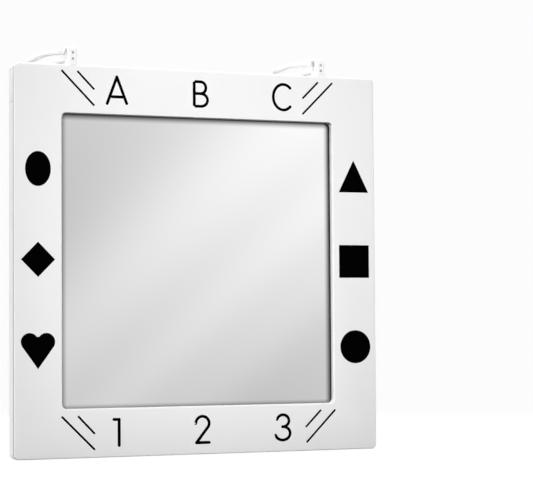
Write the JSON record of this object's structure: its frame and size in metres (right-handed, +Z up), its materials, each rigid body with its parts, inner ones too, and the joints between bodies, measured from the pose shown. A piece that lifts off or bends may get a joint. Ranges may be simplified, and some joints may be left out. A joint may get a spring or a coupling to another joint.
{
  "type": "tummy time floor mirror",
  "caption": "Square white double-sided floor mirror for tummy time, with a recessed mirror in a printed border, a printed back and soft strap loops on the top edge.",
  "frame": {"origin": "middle of the bottom edge that the panel stands on, halfway through its thickness", "axes": "+Z up, the mirror faces -Y, +Y out of the printed back, +X to the right of someone who looks into the mirror"},
  "size_m": [0.305, 0.0736, 0.322],
  "materials": {
    "white_lacquer": "satin white lacquer on board",
    "printed_board": "satin white board with black print",
    "mirror_silver": "flat acrylic mirror",
    "dowel_beech": "raw",
    "grey_foam": "soft foam",
    "white_silicone": "soft matt silicone",
    "white_plastic": "moulded",
    "steel": "plain"
  },
  "bodies": {
    "panel": {"front_fascia": "white_lacquer", "top_rail": "white_lacquer", "bottom_rail": "white_lacquer", "left_stile": "white_lacquer", "right_stile": "white_lacquer", "bottom_left_dowel_outer": "dowel_beech", "bottom_left_dowel_inner": "dowel_beech", "bottom_right_dowel_outer": "dowel_beech", "bottom_right_dowel_inner": "dowel_beech", "top_left_dowel_outer": "dowel_beech", "top_left_dowel_inner": "dowel_beech", "top_right_dowel_outer": "dowel_beech", "top_right_dowel_inner": "dowel_beech", "mirror_sheet": "mirror_silver", "foam_pad": "grey_foam", "rear_board": "printed_board", "left_strap_post": "white_plastic", "left_anchor_pin": "steel", "left_post_rivet_lower": "steel", "left_post_rivet_upper": "steel", "right_strap_post": "white_plastic", "right_anchor_pin": "steel", "right_post_rivet_lower": "steel", "right_post_rivet_upper": "steel"},
    "left_strap": {"left_strap_lower_run": "white_silicone", "left_stud": "white_plastic"},
    "left_strap_end": {"left_strap_upper_run": "white_silicone", "left_stud_cap": "white_plastic"},
    "right_strap": {"right_strap_lower_run": "white_silicone", "right_stud": "white_plastic"},
    "right_strap_end": {"right_strap_upper_run": "white_silicone", "right_stud_cap": "white_plastic"}
  },
  "joints": [
    {"name": "left_strap_swing", "type": "hinge", "parent": "panel", "child": "left_strap", "pos_m": [-0.10522, 0.0103, 0.3113], "axis": [0.9511, 0.309, 0], "range_deg": [-85, 53]},
    {"name": "left_strap_open", "type": "hinge", "parent": "left_strap", "child": "left_strap_end", "pos_m": [-0.12226, 0.06274, 0.31252], "axis": [-0.0162, 0.0498, 0.9986], "range_deg": [0, 50]},
    {"name": "right_strap_swing", "type": "hinge", "parent": "panel", "child": "right_strap", "pos_m": [0.10522, 0.0103, 0.3113], "axis": [0.9703, 0.2419, 0], "range_deg": [-86, 52]},
    {"name": "right_strap_open", "type": "hinge", "parent": "right_strap", "child": "right_strap_end", "pos_m": [0.09189, 0.06377, 0.31348], "axis": [-0.0084, 0.0339, 0.9994], "range_deg": [0, 50]}
  ]
}
